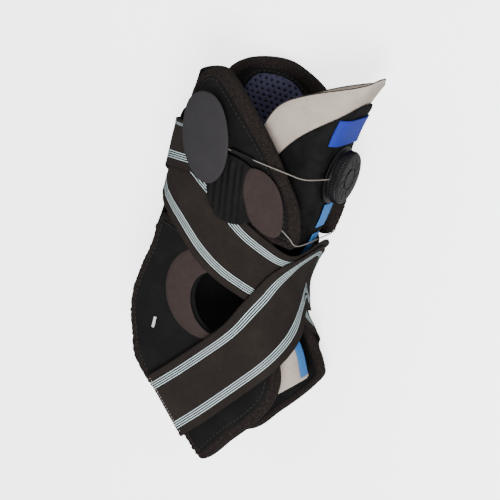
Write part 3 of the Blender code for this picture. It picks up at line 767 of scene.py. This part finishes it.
def side_panel(label, side, outline, toe_widening):
    edge = evenly(closed_outline(outline), 400)
    rim = inset(edge, 4.6)
    shell = panel(label + "_side_shell_cloth", HOLE_CENTRE, oval(20.0, 24.0), rim, (3.0, 6.3),
                  "shell", "brace", side, sectors=180, rings=34, edge=2.0, uneven=(0.35, 17.0))
    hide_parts(label + "_side_shell")
    lining = panel(label + "_side_lining", HOLE_CENTRE, oval(19.0, 23.0), rim, (-0.4, 2.8),
                   "lining", "brace", side, rings=24, uneven=(0.3, 12.0))
    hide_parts(label + "_side_liner")
    ring = panel(label + "_ankle_ring_suede", HOLE_CENTRE, oval(19.2, 23.2),
                 oval(30, 33, RING_CENTRE), (5.9, 7.8), "suede", "brace", side,
                 sectors=200, rings=26, edge=3.2)
    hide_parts(label + "_ankle_ring")

    def roll_width(path):
        """The binding is widest along the toe edge, and narrow over the heel."""
        toe = np.clip((path[:, 0] - 20) / 20, 0, 1) * np.clip((10 - path[:, 1]) / 20, 0, 1)
        return 5.0 + toe_widening * toe

    roll = edge_roll(label + "_side_velour", edge, roll_width, "brace", side)
    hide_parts(label + "_side_binding")
    seam(label + "_edge", inset(edge, roll_width(edge)[:, None] + 1.4), 6.4, side, "brace")
    seam(label + "_ring", oval(28.4, 31.4, RING_CENTRE, 200), 7.7, side, "brace")


# --- wings ------------------------------------------------------------------------------------

def wing_roll_width(path):
    """The binding is wide over the wing's front and top, and narrow below and behind."""
    x, y = path[:, 0], path[:, 1]
    front = np.clip((x + 48) / 14, 0, 1) * np.clip((y - 60) / 12, 0, 1)
    return 5.5 + 4.6 * front * front * (3 - 2 * front)


def mesh_pad(label, side, outline):
    """A padded, perforated patch inside the wing, swollen by a cloth simulation."""
    body = label + "_wing"
    outline = smooth_outline(outline, 200)
    pad = panel(label + "_mesh_cloth", outline.mean(0), None, outline, (-2.6, 1.0),
                "mesh", None, side, sectors=72, rings=14, edge=2.2)
    swell(pad, 3.0)
    for _ in range(2):
        refine(pad)
    punch(pad, side)
    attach(pad, body)
    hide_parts(label + "_mesh_pad")
    seam(label + "_mesh", inset(outline, -1.2), -0.8, side, body, 300, facing=-1)


def swell(piece, cap, voxel=1.6, pressure=4.0, steps=20):
    """Blow a closed piece up a little as cloth, moving no point further than the cap."""
    remesh = piece.modifiers.new("even_mesh", "REMESH")
    remesh.mode = "VOXEL"
    remesh.voxel_size = voxel * MM
    apply_modifiers(piece)
    before = mesh_vectors(piece.data, "co")
    cloth = piece.modifiers.new("swelling", "CLOTH")
    cloth.settings.use_pressure = True
    cloth.settings.uniform_pressure_force = pressure
    cloth.settings.effector_weights.gravity = 0.0
    cloth.settings.quality = 4
    scene = bpy.context.scene
    for step in range(1, steps + 1):
        scene.frame_set(step)
    shift = mesh_vectors(evaluated(piece).data, "co") - before
    piece.modifiers.remove(cloth)
    scene.frame_set(1)
    size = np.linalg.norm(shift, axis=1, keepdims=True)
    shift = shift * np.minimum(1.0, cap * MM / np.maximum(size, 1e-9))
    move_points(piece, before + shift)
    piece.data.shade_smooth()


def mesh_vectors(mesh, name):
    values = np.empty(len(mesh.vertices) * 3, np.float32)
    mesh.vertices.foreach_get(name, values)
    return values.reshape(-1, 3).astype(float)


def move_points(piece, places):
    piece.data.vertices.foreach_set("co", places.astype(np.float32).ravel())


def evaluated(piece):
    return piece.evaluated_get(bpy.context.evaluated_depsgraph_get())


def apply_modifiers(piece):
    mesh = bpy.data.meshes.new_from_object(evaluated(piece))
    piece.modifiers.clear()
    piece.data = mesh


def refine(piece):
    subdivision = piece.modifiers.new("refine", "SUBSURF")
    subdivision.levels = subdivision.render_levels = 1
    apply_modifiers(piece)


def punch(pad, side, pitch=4.6, hole=1.0, depth=1.1):
    """Sink a staggered pattern of small round holes into the pad's inner face."""
    places = mesh_vectors(pad.data, "co")
    x, y = (places[:, k] / MM + GROUND_POINT[k] for k in (0, 1))
    row_pitch = pitch * 0.866
    row = np.round(y / row_pitch)
    shift = (row % 2) * pitch / 2
    from_column = x - shift - np.round((x - shift) / pitch) * pitch
    distance = np.hypot(y - row * row_pitch, from_column)
    sunk = 1 / (1 + np.exp((distance - hole) / 0.16))
    normals = mesh_vectors(pad.data, "normal")
    sunk = sunk * np.clip(-normals[:, 2] * side * 2, 0, 1)
    move_points(pad, places - normals * (sunk * depth * MM)[:, None])
    # the third cloth value, how far down a hole each point sits, sets the painted shade in the
    # holes
    set_cloth(pad.data, np.stack([x, y, sunk], -1))


def pocket_folds(x, y):
    """Upright gathers in the stretch cloth between the tab and the suede cover."""
    lean = x + 0.12 * (y - 85)
    folds = sum(high * np.exp(-((lean - at) / wide) ** 2) for at, wide, high in (
        (-17, 1.5, 0.8), (-12.5, 1.6, 1.1), (-8.2, 1.3, 0.8), (-4.2, 1.7, 1.1), (0.2, 1.4, 0.9),
        (4.4, 1.6, 1.1), (8.6, 1.4, 0.8)))
    return folds * np.clip((107 - y) / 8, 0, 1) * np.clip((8 - x) / 5, 0, 1)


def wing(label, side, outline_points, pad_points):
    body = label + "_wing"
    outline = smooth_outline(outline_points, 400)
    widths = wing_roll_width(outline)[:, None]
    rim = inset(outline, widths - 1.6)
    shell = panel(body + "_cloth", WING_CENTRE, None, rim, (3.7, 6.0), "shell", body, side,
                  sectors=240, rings=44, edge=1.4, dome=0.3, uneven=(0.3, 14.0))
    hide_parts(body + "_shell")
    hole = inset(smooth_outline(pad_points, 200), 1.0)
    lining = panel(body + "_lining", hole.mean(0), hole, rim, (-0.6, 1.4), "lining", body,
                   side, rings=14, edge=1.2)
    roll = edge_roll(body + "_velour", outline, wing_roll_width, body, side, (-1.4, 7.4))
    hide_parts(body + "_binding")
    pocket = smooth_outline(POCKET, 240)
    panel(label + "_stretch_pocket", pocket.mean(0), None, pocket, (8.3, 9.6), "pocket", body,
          side, sectors=180, rings=60, edge=1.8, uneven=(0.15, 8.0), relief=pocket_folds)
    cover_outline = smooth_outline(LACE_COVER, 200)
    cover = panel(label + "_cover_suede", cover_outline.mean(0), None, cover_outline, (8.7, 10.3),
                  "suede", body, side, sectors=120, rings=16, edge=2.0, dome=-0.2,
                  uneven=(0.25, 8.0))
    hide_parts(label + "_lace_cover")
    seam(body + "_seam", inset(outline, widths + 1.2), 6.4, side, body)
    seam(body + "_cover", inset(cover_outline, 1.8), 10.1, side, body)
    mesh_pad(label, side, pad_points)
    dress(body + "_stay", "grey_plastic")
    dress(label + "_lace_guide", "plastic")


# --- straps -----------------------------------------------------------------------------------

def eased(values, spread_rows):
    """The values with their kinks rounded off over some rows and their ends kept."""
    reach = 3 * spread_rows
    weights = np.exp(-0.5 * (np.arange(-reach, reach + 1) / spread_rows) ** 2)
    first = 2 * values[:1] - values[reach:0:-1]
    last = 2 * values[-1:] - values[-2:-reach - 2:-1]
    padded = np.concatenate([first, values, last])
    return sum(w * padded[k:k + len(values)] for k, w in enumerate(weights / weights.sum()))


def strap_spots(side, rest, draw, count=400, columns=65):
    """A grid of (u, v) along and across a strap, with millimetres along and across."""
    spots = []
    for spot, where in STRAP_START + rest:
        if spot == "front":
            spots.append((front_section(where), 0.0))
        elif spot == "rear":
            spots.append((rear_section(where), -180.0))
        else:
            u, v = (float(a) for a in side_spots(*spot))
            spots.append((u, v * where if abs(where) == 1 else v - 360.0))
    _, fine = sampled(spots, 60)
    steps = np.diff(sleeve(fine[:, 0], fine[:, 1], STRAP_ROUTE_HEIGHT), axis=0)
    length = np.concatenate([[0], np.cumsum(np.linalg.norm(steps, axis=1))])
    run = np.linspace(0, length[-1], count)
    u, v = (np.interp(run, length, fine[:, k]) for k in (0, 1))
    u, v = eased(u, 9), eased(v, 9)
    travel = np.gradient(sleeve(u, v, STRAP_ROUTE_HEIGHT), axis=0)
    along_u, along_v = slopes(u, v)
    across = eased(unit(np.cross(np.cross(along_u, along_v), travel)), 18)
    shift = np.linspace(-0.5, 0.5, columns)[None] * STRAP_WIDTH + 0 * run[:, None]
    front = np.interp(0.0, -v, run)
    drawn = sum(deep * np.exp(-((run - at) / wide) ** 4) for at, wide, deep in draw(front, run[-1]))
    upper = np.where(across[:, 1] > 0, 1.0, -1.0)[:, None]
    taken = np.clip(shift * upper / (STRAP_WIDTH / 2), 0, 1) * (drawn + 0 * run)[:, None]
    reach = np.abs(shift - upper * taken)
    grid_u = np.repeat(u[:, None], columns, 1)
    grid_v = np.repeat(v[:, None], columns, 1)
    heading = across[:, None] * np.where(shift < 0, -1, 1)[..., None]
    grid_u, grid_v = walk(grid_u, grid_v, heading, reach)
    return grid_u, grid_v * side, run[:, None] + 0 * grid_u, shift


def over_strap_draw(front, end):
    """Where the over strap's upper edge is drawn in: middle, half length and depth in mm."""
    return ((front + 34.0, 30.0, 11.0), (end, 70.0, 15.0))


def strap(label, side, rest, layer, draw):
    u, v, run, across = strap_spots(side, rest, draw)
    edge_radius, band_half_width, hem_width = 0.8, 2.7, 3.0
    edge = rounding(STRAP_WIDTH / 2 - np.abs(across), edge_radius)
    ends = rounding(np.minimum(run, run.max() - run), edge_radius)
    rise = np.minimum(edge, ends)
    in_band = np.abs(np.abs(across) - STRAP_BAND_MIDDLE) < band_half_width
    in_hem = np.abs(across) > STRAP_WIDTH / 2 - hem_width
    welt = 0.2 * in_band * (0.5 + 0.5 * np.cos(across * math.pi)) + 0.3 * in_hem
    bumpy = 0.12 * ripple(run, across * 0.4, 9.0, 11) + 0.06 * np.sin(run * 2 * math.pi / 0.9)
    middle, half = halves(layer)
    top = sleeve(u, v, middle + half * rise + (welt + bumpy) * rise)
    bottom = sleeve(u, v, middle - half * rise)
    cloth = np.stack([run, across, 0 * run], -1)
    piece = sheet(label + "_strap_webbing", top, bottom, "strap", "brace", cloth)
    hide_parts(label + "_strap")
    hem_u, hem_v = u[3, 3:-3], v[3, 3:-3]
    points = sleeve(hem_u, hem_v, layer[1] + 0.35)
    ups = unit(sleeve(hem_u, hem_v, layer[1] + 1.0) - points)
    stitches(label + "_strap_hem_stitches", points, ups, "brace", "pale_thread",
             length=1.2, gap=1.0, radius=0.22, swing=0.5)


def pull_tab():
    """The smooth egg shaped tab at the near strap's end."""
    outline = smooth_outline(TAB_OUTLINE, 240)
    tab = panel("near_tab_moulding", outline.mean(0), None, outline, (13.0, 15.2), "tab",
                "near_tab", 1, sectors=160, rings=26, edge=1.5, dome=0.5)
    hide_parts("near_tab")
    dress("near_tab_hook", "plastic")


# --- tongue -----------------------------------------------------------------------------------

def tongue_edge(u):
    """The tongue wraps the leg, narrows past the ankle openings and widens at the toes."""
    return 88.0 - 36.0 * np.clip((u - 2.5) / 2.5, 0, 1) + 20.0 * np.clip((u - 7.6) / 1.6, 0, 1)


def tongue_sheet(name, top, bottom, width, layer, look_name, edge, rows=170, columns=90,
                 uneven=0.3, settle=lambda u: 0 * u):
    """A sheet of the tongue between two height rules of the share across, -1 to 1."""
    share = crowded_across(columns + 1)
    down = np.linspace(0, 1, rows + 1)[:, None]
    first, last = top(share), bottom(share)
    u = first + (last - first) * down
    share = share[None] + 0 * u
    v = share * width(u)
    middle, half = halves(layer)
    flat = tongue(u, v, middle)
    run = np.concatenate([0 * u[:1], np.cumsum(np.linalg.norm(np.diff(flat, axis=0), axis=2), 0)])
    around = np.linalg.norm(np.diff(flat, axis=1), axis=2)
    across = np.concatenate([0 * u[:, :1], np.cumsum(around, 1)], 1)
    across = across - across[:, -1:] / 2
    inside = np.minimum(np.abs(across[:, -1:]) - np.abs(across), np.minimum(run, run[-1:] - run))
    rise = rounding(inside, edge)
    lift = uneven * ripple(run, across, 22.0, 3) * rise
    middle = middle + settle(u)
    top_side = tongue(u, v, middle + half * rise + lift)
    bottom_side = tongue(u, v, middle - half * rise)
    cloth = np.stack([run, across, 0 * run], -1)
    piece = sheet(name, top_side, bottom_side, look_name, None, cloth)
    bend_with_tongue(piece)
    return piece, top_side


def bend_with_tongue(piece):
    """Bake the piece's transform into its mesh."""
    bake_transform(piece)


def lining_top(share):
    """The lining's top edge, as a section for each share across."""
    return 0.46 + 0.6 * np.abs(share) ** 2.4 + 0.49 * np.abs(share) ** 30


def tongue_parts():
    liner, _ = tongue_sheet(
        "tongue_fleece_lining", lining_top, lambda s: 11.35 + 0 * s, tongue_edge, (-8.4, -5.2),
        "beige", edge=1.3)
    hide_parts("tongue_upper_liner", "tongue_lower_liner")
    cover, _ = tongue_sheet(
        "tongue_black_panel", lambda s: 0.77 + 1.75 * np.abs(s) ** 4, lambda s: 8.4 + 0 * s,
        lambda u: tongue_edge(u) * 0.86, (-4.9, -3.4), "tongue", edge=0.9, uneven=0.2)
    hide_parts("tongue_upper_panel", "tongue_lower_panel")
    for label, first, last, cad in (
            ("upper", front_section(87.5), front_section(69.5), ("ribbon_upper",)),
            ("lower", front_section(64.5), 11.2, ("ribbon_lower", "ribbon_toe"))):
        ribbon, ribbon_top = tongue_sheet(
            "tongue_ribbon_" + label, lambda s: first + 0 * s, lambda s: last + 0 * s,
            lambda u: 14.0 + 0 * u, (-3.1, -2.1), "ribbon", edge=0.4, rows=200, columns=16,
            uneven=0.0, settle=lambda u: -2.1 * np.clip((u - 8.1) / 0.5, 0, 1))
        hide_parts(*cad)
    share = np.linspace(-0.985, 0.985, 240)
    u = lining_top(share) + 0.012
    rings = swept(tongue(u, share * tongue_edge(u), -6.8), (0.0, 0.3, 1.0), 0.55)
    rod("tongue_overlocked_edge", rings, "thread", "tongue_upper")
    u, v = np.meshgrid(np.linspace(0.97, 1.47, 24), np.linspace(-42, 42, 60), indexing="ij")
    top, bottom = tongue(u, v, -2.1), tongue(u, v, -3.1)
    cloth = np.stack([top[..., 1], v, 0 * v], -1)
    patch = sheet("tongue_blue_patch", top, bottom, "label", "tongue_upper", cloth)
    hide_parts("tongue_label")


# --- dial -------------------------------------------------------------------------------------

def turned(name, profile, look_name, body, segments=180, ribs=0, rib_depth=0.0, rib_from=99.0):
    """A turned solid about the dial's axis from (radius, height), its rim cut with ribs."""
    angle = np.arange(segments) * 2 * math.pi / segments
    profile = np.array(profile, float)
    radius = np.repeat(profile[:, :1], segments, 1)
    cut = rib_depth * (0.5 - 0.5 * np.cos(angle * ribs)) ** 0.6 if ribs else 0 * angle
    radius = radius - np.where(radius >= rib_from, cut, 0)
    points = np.stack([profile[:, 1:] + 0 * radius, radius * np.cos(angle), radius * np.sin(angle)],
                      -1) + DIAL_FOOT
    index = np.arange(radius.size).reshape(radius.shape)
    if profile[0, 0] > 0.1:
        faces = grid_faces(np.vstack([index, index[:1]]), wrap=True)
    else:
        faces = capped_faces(index)
    return make_piece(name, points, faces, look_name, body)


def soft_corners(profile, radius=0.35, steps=3):
    """Round every corner of an open profile a little."""
    profile = [np.array(p, float) for p in profile]
    result = [profile[0]]
    for before, corner, after in zip(profile, profile[1:], profile[2:]):
        a, b = before - corner, after - corner
        cut = min(radius, np.linalg.norm(a) / 2, np.linalg.norm(b) / 2)
        a, b = corner + a / np.linalg.norm(a) * cut, corner + b / np.linalg.norm(b) * cut
        for k in range(steps + 1):
            f = k / steps
            result.append((1 - f) ** 2 * a + 2 * f * (1 - f) * corner + f * f * b)
    return result + [profile[-1]]


def dial():
    base = turned("dial_flange", soft_corners([(0.02, 0.5), (20, 0.5), (21, 0.8), (20.6, 1.3),
                                               (17.2, 1.8), (16.8, 5.0), (13.6, 5.0), (13.6, 1.9),
                                               (0.02, 1.9)]), "plastic", "tongue_upper")
    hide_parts("dial_base")
    knob = turned("dial_grip", soft_corners([(3.2, 8.9), (3.2, 6.2), (17.3, 6.2), (17.3, 3.5),
                                             (18.5, 3.5), (19.0, 4.0), (19.0, 7.9), (18.5, 8.8),
                                             (17.0, 9.4), (16.4, 9.2), (15.6, 9.6), (8.4, 9.8),
                                             (7.6, 8.95), (3.2, 8.9)]),
                  "plastic", "dial", segments=360, ribs=60, rib_depth=0.75, rib_from=18.3)
    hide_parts("dial_knob")
    cap = turned("dial_centre_cap", soft_corners([(0.02, 9.15), (6.9, 9.15), (6.9, 9.8),
                                                  (5.4, 10.1), (4.6, 9.9), (0.02, 10.0)]),
                 "plastic", "dial")
    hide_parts("dial_cap")
    for k in range(12):
        rib_mark(k * math.pi / 6)
    dress("dial_axle", "steel")
    dress("lace_spool", "grey_plastic")
    dress("drive_disc", "grey_plastic")


def rib_mark(angle):
    """A raised bar on the knob's face, pointing out from its middle."""
    share = np.linspace(0, 1, 9)
    radius = 9.2 + 5.6 * share
    lean = angle + 0.25 * share
    height = 9.75 - 0.03 * (radius - 8.4)
    path = np.stack([height, radius * np.cos(lean), radius * np.sin(lean)], -1) + DIAL_FOOT
    rings = swept(path, (1.0, 0.0, 0.0), 0.42, squash=0.8)
    rod(f"dial_bar_{round(math.degrees(angle))}", rings, "plastic", "dial")


# --- lace -------------------------------------------------------------------------------------

def lace_half():
    places = np.array(LACE_ROUTE, float)
    u, v = side_spots(places[:, 0], places[:, 1])
    half = sleeve(u, v, places[:, 2])
    start = DIAL_FOOT + (2.6, 0.5, 17.7)
    ease = DIAL_FOOT + (1.6, 0.5, 24.0)
    return np.vstack([start, ease, half])


def smooth_run(points, steps=10):
    return np.array([along(points, k / steps) for k in range((len(points) - 1) * steps + 1)])


def lace():
    """The lace's three kinds of run: dial to wing, along the wing, and across below."""
    half = lace_half()
    crossing = sleeve(front_section(61.0), 0, 2.6)
    leave, enter = 4, len(half) - 2
    for label, side in SIDES:
        route = smooth_run(half * (1, 1, side))
        first = lace_run(label + "_dial_lace", route[:leave * 10 + 1], None)
        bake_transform(first)
        second = lace_run(label + "_wing_lace", route[leave * 10:enter * 10 + 1], label + "_wing")
        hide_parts("lace")
    lower = np.vstack([half[enter:], crossing, half[enter:][::-1] * (1, 1, -1)])
    lace_run("cross_lace", smooth_run(lower), "brace")


def lace_run(name, path, body, radius=0.42):
    return rod(name, swept(path, (0.0, 0.02, 1.0), radius, 10), "lace", body)


# --- sole, rear panel and tag -----------------------------------------------------------------

def sole():
    """A padded flat band under the foot."""
    heel_end, length, half, corner = 7.0, 75.0, 24.0, 8.0
    t, z = np.meshgrid(heel_end + length * crowded(61), half * crowded_across(41), indexing="ij")
    end = np.minimum(t - heel_end, heel_end + length - t)
    narrowing = corner - np.sqrt(np.maximum(corner ** 2 - np.maximum(corner - end, 0) ** 2, 0))
    z = z * (half - narrowing) / half
    rise = rounding(np.minimum(end, half - narrowing - np.abs(z)), 1.8)
    grids = []
    for drop in (3.1 - 3.0 * rise, 3.1 + 3.1 * rise):
        h = SOLE_DROP + drop
        x = FOOT_FORWARD[0] * t + FOOT_DOWN[0] * h
        y = FOOT_FORWARD[1] * t + FOOT_DOWN[1] * h
        grids.append(np.stack([x, y, z], -1))
    cloth = np.stack([t, z, 0 * t], -1)
    piece = sheet("sole_cloth", *grids, "shell", "brace", cloth)
    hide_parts("sole_band")


def rear_panel():
    half_turn = 18.5
    for name, first, last, layer, look_name, cad in (
            ("rear_cloth", 148.0, 29.6, (2.9, 6.3), "shell", "rear_panel"),
            ("rear_velour", 29.4, 23.8, (-1.0, 7.0), "binding", "rear_binding")):
        heights, turn = np.meshgrid(first + (last - first) * crowded(80),
                                    half_turn * crowded_across(31), indexing="ij")
        u, v = rear_section(heights), 180 + turn
        inside = np.minimum((half_turn - np.abs(v - 180)) * 0.7,
                            np.minimum(first - heights, heights - last))
        rise = rounding(inside, 2.0)
        middle, half = halves(layer)
        cloth = np.stack([heights, v, 0 * v], -1)
        piece = sheet(name, sleeve(u, v, middle + half * rise), sleeve(u, v, middle - half * rise),
                      look_name, "brace", cloth)
        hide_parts(cad)


def tag():
    x, y = np.meshgrid(np.linspace(-34.8, -33.2, 8), np.linspace(-35, -27, 18), indexing="ij")
    u, v = side_spots(x, y)
    cloth = np.stack([x, y, 0 * x], -1)
    piece = sheet("size_tag_cloth", sleeve(u, v, 7.5), sleeve(u, v, 6.8), "tag", "brace", cloth)
    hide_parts("size_tag")


# --- stage, light and camera ------------------------------------------------------------------

LIGHT_TARGET = Vector((0, 0, 0.04))


def light(name, place, size, power):
    """A round lamp that faces the brace."""
    lamp = bpy.data.lights.new(name, "AREA")
    lamp.shape, lamp.size, lamp.energy = "DISK", size, power
    piece = bpy.data.objects.new(name, lamp)
    piece.location = place
    piece.rotation_mode = "QUATERNION"
    piece.rotation_quaternion = (LIGHT_TARGET - Vector(place)).to_track_quat("-Z", "Y")
    bpy.context.collection.objects.link(piece)
    return piece


def studio():
    bm = bmesh.new()
    bmesh.ops.create_grid(bm, x_segments=1, y_segments=1, size=3.0)
    mesh = bpy.data.meshes.new("floor")
    bm.to_mesh(mesh)
    bm.free()
    floor = bpy.data.objects.new("floor", mesh)
    made, tree = look("floor_paint", 0.9, specular=0.1)
    shader = tree.nodes["Principled BSDF"]
    shader.inputs["Emission Color"].default_value = (1, 1, 1, 1)
    shader.inputs["Emission Strength"].default_value = 2.4
    tint = mixed(tree, noise(tree, 3.0), (0.93, 0.93, 0.93), (0.95, 0.95, 0.95))
    dressed(made, tint, noise(tree, 400), 0.01)
    mesh.materials.append(made)
    bpy.context.collection.objects.link(floor)
    floor.visible_diffuse = floor.visible_glossy = False
    world = bpy.data.worlds.new("studio_sky")
    world.use_nodes = True
    background = world.node_tree.nodes["Background"]
    background.inputs["Color"].default_value = (1, 1, 1, 1)
    background.inputs["Strength"].default_value = 0.8
    bpy.context.scene.world = world
    lights = [
        light("key", (0.6, -0.1, 1.15), 0.6, 24.0),
        light("fill", (-0.7, 0.7, 0.9), 1.0, 5.0),
        light("front", (0.9, 0.6, 0.5), 0.6, 3.0),
    ]


def camera():
    """Look at the near side, turned towards the front and the top, with the leg leaning."""
    right = unit(np.array((0.918, 0.0, -0.397)))
    up = unit(np.array((-0.132, 0.943, -0.307)))
    lean, seen_width, distance = math.radians(15.0), 0.350, 1.15
    back = unit(np.cross(right, up))
    up = np.cross(back, right)
    side = right * math.cos(lean) + up * math.sin(lean)
    top = up * math.cos(lean) - right * math.sin(lean)
    aim = to_world(np.array((0.0, 0.0, 35.0)) + 28.0 * side + 35.0 * top)
    data = bpy.data.cameras.new("camera")
    data.sensor_width = 36.0
    data.lens = data.sensor_width * distance / seen_width
    piece = bpy.data.objects.new("camera", data)
    place = aim + back * distance
    piece.matrix_world = Matrix([[side[i], top[i], back[i], place[i]] for i in range(3)]
                                + [[0, 0, 0, 1]])
    bpy.context.collection.objects.link(piece)
    bpy.context.scene.camera = piece


def main():
    camera()
    studio()
    side_panel("near", 1, NEAR_PANEL, 3.6)
    side_panel("far", -1, FAR_PANEL, 0.8)
    wing("near", 1, NEAR_WING, NEAR_MESH_PAD)
    wing("far", -1, FAR_WING, FAR_MESH_PAD)
    strap("near", 1, NEAR_STRAP_REST, (10.6, 11.7), over_strap_draw)
    strap("far", -1, FAR_STRAP_REST, (8.1, 9.2), lambda front, end: ())
    pull_tab()
    tongue_parts()
    dial()
    lace()
    sole()
    rear_panel()
    tag()


main()
